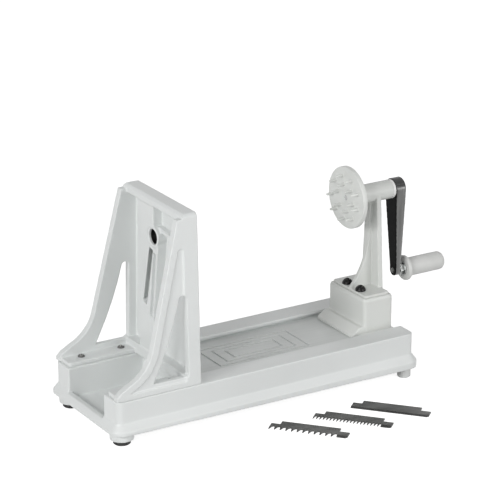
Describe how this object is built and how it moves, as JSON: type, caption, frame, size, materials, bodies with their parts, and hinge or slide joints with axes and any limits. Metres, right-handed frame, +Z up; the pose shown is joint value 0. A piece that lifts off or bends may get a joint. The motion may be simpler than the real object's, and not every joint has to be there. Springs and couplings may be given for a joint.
{
  "type": "hand-cranked spiralizer",
  "caption": "White bench spiralizer with an upright slicing head, a sliding crank carriage with a pronged disc, and loose straight and comb blades.",
  "frame": {"origin": "on the table, under the middle of the whole set's outline", "axes": "+X from the tray end to the crank handle, +Y away from the loose blades, +Z up"},
  "size_m": [0.4986, 0.267, 0.258],
  "materials": {
    "white_plastic": "satin",
    "grey_plastic": "satin",
    "stud_plastic": "matte",
    "dark_casting": "satin",
    "bright_steel": "satin",
    "screw_steel": "satin",
    "cutter_steel": "satin",
    "blade_steel": "satin",
    "black_screws": "gloss",
    "washer_black": "matte",
    "bush_nylon": "satin",
    "disc_plastic": "satin",
    "grip_plastic": "satin",
    "black_rubber": "matte"
  },
  "bodies": {
    "bench": {"base": "white_plastic", "rubber_pads": "black_rubber", "foot_studs": "stud_plastic", "slicing_head": "white_plastic", "head_screws": "screw_steel", "core_cutter": "cutter_steel", "clamp_screws": "bright_steel"},
    "sled": {"carriage": "grey_plastic", "crank_post": "grey_plastic", "post_screws": "black_screws", "front_bush": "bush_nylon", "rear_bush": "bush_nylon"},
    "crank": {"drive_shaft": "bright_steel", "thrust_washer": "washer_black", "prong_disc": "disc_plastic", "disc_screw": "bright_steel", "crank_arm": "dark_casting", "crank_screw": "screw_steel", "handle_bolt": "bright_steel", "lock_nut": "bright_steel", "handle_washer": "bright_steel"},
    "handle": {"grip": "grip_plastic", "grip_cap": "grip_plastic"},
    "straight_cutter": {"straight_blade": "blade_steel"},
    "fine_cutter": {"fine_comb_blade": "blade_steel"},
    "coarse_cutter": {"coarse_comb_blade": "blade_steel"}
  },
  "joints": [
    {"name": "carriage_slide", "type": "slide", "parent": "bench", "child": "sled", "axis": [-1, 0, 0], "range_m": [0, 0.215]},
    {"name": "crank_spin", "type": "hinge", "parent": "sled", "child": "crank", "pos_m": [0.1422, 0.05189, 0.212], "axis": [1, 0, 0], "continuous": true},
    {"name": "grip_spin", "type": "hinge", "parent": "crank", "child": "handle", "pos_m": [0.2172, 0.05189, 0.107], "axis": [1, 0, 0], "continuous": true},
    {"name": "straight_blade_lift", "type": "slide", "parent": "bench", "child": "straight_cutter", "axis": [0, 0, 1], "range_m": [0, 0.08]},
    {"name": "fine_blade_lift", "type": "slide", "parent": "bench", "child": "fine_cutter", "axis": [0, 0, 1], "range_m": [0, 0.08]},
    {"name": "coarse_blade_lift", "type": "slide", "parent": "bench", "child": "coarse_cutter", "axis": [0, 0, 1], "range_m": [0, 0.08]}
  ]
}
